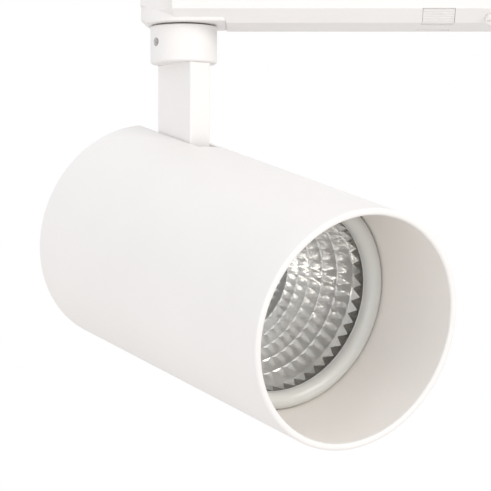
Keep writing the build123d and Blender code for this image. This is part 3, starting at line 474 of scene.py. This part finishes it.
def tube_mesh():
    """The tube wall: one section turned in columns that line up with the arm slot's two sides."""
    outer_edge = asin(SLOT_HALF / TUBE_R)
    inner_edge = asin(SLOT_HALF / TUBE_BORE_R)

    def angles(edge):
        across = [-edge + 2 * edge * j / SLOT_COLUMNS for j in range(SLOT_COLUMNS)]
        around = [edge + (2 * pi - 2 * edge) * j / TUBE_COLUMNS for j in range(TUBE_COLUMNS)]
        return across + around

    c = RIM_ROUND
    rim_out = arc((c, TUBE_R - c), c, 90, 180, RIM_STEPS)
    rim_in = arc((c, TUBE_BORE_R + c), c, 180, 270, RIM_STEPS)
    depths = [TUBE_LENGTH, SLOT_FRONT, *TUBE_STATIONS]
    outside = [(d, TUBE_R) for d in depths] + rim_out
    inside = rim_in + [(d, TUBE_BORE_R) for d in reversed(depths)]
    columns = SLOT_COLUMNS + TUBE_COLUMNS
    bm = bmesh.new()

    def ring(profile, edge):
        return [[bm.verts.new(head_point(d, r, a)) for a in angles(edge)] for d, r in profile]

    rows = ring(outside, outer_edge) + ring(inside, inner_edge)
    count = len(rows)
    first_inner = len(outside) + len(rim_in) - 1
    for i in range(count):
        after = rows[(i + 1) % count]
        cut = i in (0, count - 1, count - 2)
        for j in range(columns):
            k = (j + 1) % columns
            if not (cut and j < SLOT_COLUMNS):
                face = bm.faces.new((rows[i][j], rows[i][k], after[k], after[j]))
                # the inner faces take the second material, the coat with the painted warm bounce light
                face.material_index = int(first_inner <= i < count - 1)
    for j in range(SLOT_COLUMNS):
        bm.faces.new((rows[1][j], rows[1][j + 1], rows[-2][j + 1], rows[-2][j]))
    for j in (0, SLOT_COLUMNS):
        bm.faces.new((rows[0][j], rows[1][j], rows[-2][j], rows[-1][j]))
    loose = [v for v in bm.verts if not v.link_faces]
    bmesh.ops.delete(bm, geom=loose, context="VERTS")
    bmesh.ops.recalc_face_normals(bm, faces=bm.faces)
    return mesh_from(rounded(bm, TUBE_EDGE_ROUND), "tube_wall")


def ring_mesh():
    """The ring in front of the glass: a rounded crown and a small lip at its bore."""
    crown = through((GLASS_SEAT - RING_LIP, RING_BORE_R), (RING_FRONT, RING_CROWN_R),
                    (GLASS_SEAT - RING_FOOT, TUBE_BORE_R), RING_CROWN_STEPS)
    recess = GLASS_R + SEAT_GAP
    back = [(RING_BACK, TUBE_BORE_R), (RING_BACK, recess), (GLASS_SEAT, recess), (GLASS_SEAT, RING_BORE_R)]
    return mesh_from(rounded(lathe(crown + back), RING_EDGE_ROUND, 2, 40.0), "front_ring")


def glass_mesh():
    """The round pane, with a small bevel at both edges."""
    bm = bmesh.new()
    face_r = GLASS_R - GLASS_EDGE
    outline = [(GLASS_FRONT, face_r), (GLASS_FRONT + GLASS_EDGE, GLASS_R),
               (GLASS_BACK - GLASS_EDGE, GLASS_R), (GLASS_BACK, face_r)]
    rings = [circle(bm, depth, radius, GLASS_COLUMNS) for depth, radius in outline]
    for ring, after in zip(rings, rings[1:]):
        band(bm, ring, after)
    bm.faces.new(rings[0])
    bm.faces.new(rings[-1])
    bmesh.ops.recalc_face_normals(bm, faces=bm.faces)
    return mesh_from(bm, "front_pane")


def bowl_radius(part):
    """Radius of the bowl's inside at a fraction of its depth, from neck to mouth."""
    neck = BOWL_NECK_R ** BOWL_BULGE
    return (neck + (BOWL_MOUTH_R ** BOWL_BULGE - neck) * part) ** (1 / BOWL_BULGE)


def bowl_depth(radius):
    """Depth behind the rim at which the bowl's inside has this radius."""
    neck = BOWL_NECK_R ** BOWL_BULGE
    part = (radius ** BOWL_BULGE - neck) / (BOWL_MOUTH_R ** BOWL_BULGE - neck)
    return BOWL_BACK - BOWL_DEPTH * part


def facet_corners(depth, radius):
    """Where the corners of a row of facets are."""
    return [head_point(depth, radius, 2 * pi * j / FACET_COLUMNS) for j in range(FACET_COLUMNS)]


def facet_patch(bm, a, b, c, d, step):
    """One facet between its lower corners a, b and upper corners c, d, crowned towards the bowl's axis.

    Its lower edge bows outwards by the step, and a crescent that faces the mouth fills the space.
    """
    cuts = FACET_CUTS
    middle = (a + b + c + d) / 4
    inwards = (b - a).cross(d - a).normalized()
    axis = Vector((middle.x, 0, -PIVOT_RISE * MM))
    if inwards.dot(axis - middle) < 0:
        inwards = -inwards
    outwards = ((a + b) / 2 - Vector((a.x, 0, -PIVOT_RISE * MM))).normalized()
    forwards = Vector((1, 0, 0))
    rows = []
    for v in range(cuts + 1):
        line = []
        for u in range(cuts + 1):
            s, t = u / cuts, v / cuts
            bow = (outwards + forwards * STEP_SLOPE) * (step * (4 * s * (1 - s)) ** 2 * (1 - t) * MM)
            crown = inwards * (FACET_CROWN * 16 * s * (1 - s) * t * (1 - t) * MM)
            line.append(bm.verts.new(a.lerp(b, s).lerp(d.lerp(c, s), t) + bow + crown))
        rows.append(line)
    for v in range(cuts):
        for u in range(cuts):
            bm.faces.new((rows[v][u], rows[v][u + 1], rows[v + 1][u + 1], rows[v + 1][u]))
    if not step:
        return
    chord = [bm.verts.new(a.lerp(b, u / cuts)) for u in range(1, cuts)]
    bowed = rows[0]
    bm.faces.new((bowed[0], chord[0], bowed[1]))
    for u in range(1, cuts - 1):
        bm.faces.new((chord[u - 1], chord[u], bowed[u + 1], bowed[u]))
    bm.faces.new((chord[-1], bowed[-1], bowed[-2]))


def tooth(bm, a, b, c, d):
    """The last row: a pointed bright facet from the lower corners, and one each side of it whose darker,
    warmer coating is a painted dark reflection.
    """
    tip = (c + d) / 2
    axis = Vector((tip.x, 0, -PIVOT_RISE * MM))
    tip = tip + (axis - tip).normalized() * TOOTH_RISE * MM
    places = {"a": a, "b": b, "c": c, "d": d, "tip": tip}
    corner = {name: bm.verts.new(place) for name, place in places.items()}
    chord = [bm.verts.new(a.lerp(b, u / FACET_CUTS)) for u in range(1, FACET_CUTS)]
    bm.faces.new((corner["a"], *chord, corner["b"], corner["tip"]))
    for first, second in (("a", "d"), ("c", "b")):
        side = bm.faces.new((corner[first], corner["tip"], corner[second]))
        # the sides take the second material, the painted dark reflection
        side.material_index = 1


def reflector_mesh():
    """Faceted bowl: rows of crowned facets with small steps between them, and a pointed last row."""
    top_depth = BOWL_BACK - BOWL_DEPTH + TOOTH_DEPTH
    top_radius = bowl_radius((BOWL_BACK - top_depth) / BOWL_DEPTH)
    corners = []
    for row in range(FACET_ROWS + 1):
        radius = BOWL_NECK_R + (top_radius - BOWL_NECK_R) * row / FACET_ROWS
        corners.append(facet_corners(bowl_depth(radius), radius))
    mouth = BOWL_BACK - BOWL_DEPTH
    corners.append(facet_corners(mouth, BOWL_MOUTH_R))
    bm = bmesh.new()
    for row in range(FACET_ROWS + 1):
        for j in range(FACET_COLUMNS):
            k = (j + 1) % FACET_COLUMNS
            square = (corners[row][j], corners[row][k], corners[row + 1][k], corners[row + 1][j])
            if row == FACET_ROWS:
                tooth(bm, *square)
            else:
                facet_patch(bm, *square, FACET_STEP if row else 0.0)
    # the flange against the glass, and the bowl's plain back
    flange_r = GLASS_R - FLANGE_GAP
    outline = [(mouth, flange_r), (mouth + BOWL_WALL, flange_r)]
    for step in range(BOWL_BACK_STEPS + 1):
        radius = BOWL_MOUTH_R + (BOWL_NECK_R - BOWL_MOUTH_R) * step / BOWL_BACK_STEPS
        outline.append((bowl_depth(radius) + BOWL_WALL, radius + 0.6 * BOWL_WALL))
    loops = [[bm.verts.new(place) for place in corners[-1]]]
    loops += [circle(bm, depth, radius, FACET_COLUMNS) for depth, radius in outline]
    loops.append([bm.verts.new(place) for place in corners[0]])
    for loop, after in zip(loops, loops[1:]):
        band(bm, loop, after)
    bmesh.ops.remove_doubles(bm, verts=bm.verts, dist=SAME_PLACE * MM)
    bmesh.ops.recalc_face_normals(bm, faces=bm.faces)
    return mesh_from(bm, "faceted_bowl")


# ------------------------------------------------------------------ the object
for obj in nodes.values():
    slot_name = obj.data.materials[0].name.split(".")[0]
    obj.material_slots[0].material = FINISHES[slot_name]

piece("tube_wall", tube_mesh(), "head", "white_coat", HEAD, stands_for=("head_tube",), extra=(INNER_COAT_PAINTED_BOUNCE,))
piece("front_ring", ring_mesh(), "head", "ring_grey", HEAD, stands_for=("retaining_ring",))
piece("front_pane", glass_mesh(), "head", "clear_glass", HEAD, 20.0, stands_for=("cover_glass",))
piece("faceted_bowl", reflector_mesh(), "head", "reflector_silver", HEAD, 12.0, stands_for=("reflector",),
      extra=(TOOTH_SIDES_PAINTED_REFLECTION,))

REFINED = (
    ("gear_housing", "gear_plastic", 0.30, "box_shell"),
    ("gear_cover", "gear_plastic", 0.25, "box_lid"),
    ("swivel_base", "white_coat", 0.20, "swivel_block"),
    ("latch_front", "gear_plastic", 0.10, "latch_pad_front"),
    ("latch_rear", "gear_plastic", 0.10, "latch_pad_rear"),
    ("arm", "white_coat", 0.30, "arm_bar"),
    ("rear_cover", "white_coat", 0.25, "rear_disc"),
    ("heat_sink", "bare_aluminium", 0.15, "sink_fins"),
    ("track_neck", "gear_plastic", 0.25, "neck_shell"),
    ("pivot_cheeks", "bare_aluminium", 0.25, "cheek_plates"),
)
for node_name, slot_name, width, new_name in REFINED:
    refined(node_name, slot_name, width, new_name)


# ------------------------------------------------------------------ stage, light and camera
# in metres from here on
FLOOR_SIZE = 60
FLOOR_Z = -2.5
WORLD_LIGHT = 0.945
CAMERA_PLACE = (0.026, -0.959, -0.151)
CAMERA_LIFT = 1.367       # degrees above level
CAMERA_LENS = 167.39      # focal length in millimetres, as the sensor
CAMERA_SENSOR = 36.0


def lamp(name, place, target, size, watts, colour=(1, 1, 1)):
    data = bpy.data.lights.new(name, "AREA")
    data.shape = "RECTANGLE"
    data.size, data.size_y = size
    data.energy = watts
    data.color = colour
    obj = bpy.data.objects.new(name, data)
    obj.location = place
    obj.rotation_euler = (Vector(target) - Vector(place)).to_track_quat("-Z", "Y").to_euler()
    bpy.context.scene.collection.objects.link(obj)


def plain_to_camera(tree, output, shader, white):
    """Shows a plain white to the camera and its own shade to the light that bounces off it."""
    path = tree.nodes.new("ShaderNodeLightPath")
    mix = tree.nodes.new("ShaderNodeMixShader")
    tree.links.new(path.outputs["Is Camera Ray"], mix.inputs[0])
    tree.links.new(shader, mix.inputs[1])
    tree.links.new(white, mix.inputs[2])
    tree.links.new(mix.outputs[0], output)


bpy.ops.mesh.primitive_plane_add(size=FLOOR_SIZE, location=(0, 0, FLOOR_Z))
floor = bpy.context.object
floor.name = "floor"
paper = Graph("white_paper")
fibre = paper.noise(40.0, 4.0)
pulp = paper.blend(fibre, (0.87, 0.845, 0.82), (0.89, 0.865, 0.84))
paper.finish(pulp, paper.span(fibre, 0.3, 0.7, 0.85, 0.95))
glow = paper.add("ShaderNodeEmission")
glow.inputs["Strength"].default_value = 1.0
plain_to_camera(paper.tree, paper.output.inputs["Surface"], paper.shader.outputs["BSDF"], glow.outputs[0])
floor.data.materials.append(paper.material)

world = bpy.data.worlds.new("studio")
world.use_nodes = True
background = world.node_tree.nodes["Background"]
background.inputs["Color"].default_value = (0.98, 0.985, 1.0, 1.0)
background.inputs["Strength"].default_value = WORLD_LIGHT
backdrop = world.node_tree.nodes.new("ShaderNodeBackground")
backdrop.inputs["Color"].default_value = (1.0, 1.0, 1.0, 1.0)
plain_to_camera(world.node_tree, world.node_tree.nodes["World Output"].inputs["Surface"],
                background.outputs[0], backdrop.outputs[0])
bpy.context.scene.world = world

lamp("key_lamp", (1.45, -1.30, 0.75), (0.06, -0.05, -0.13), (1.0, 1.0), 14.5, (1.0, 0.95, 0.89))
lamp("fill_lamp", (-0.70, -2.00, -0.55), (0.0, -0.02, -0.12), (1.2, 1.2), 9.0, (0.98, 0.985, 1.0))

camera_data = bpy.data.cameras.new("camera")
camera_data.lens = CAMERA_LENS
camera_data.sensor_width = CAMERA_SENSOR
camera = bpy.data.objects.new("camera", camera_data)
camera.location = CAMERA_PLACE
camera.rotation_euler = (radians(90 + CAMERA_LIFT), 0, 0)
bpy.context.scene.collection.objects.link(camera)
bpy.context.scene.camera = camera
bpy.context.scene.view_settings.view_transform = "Standard"
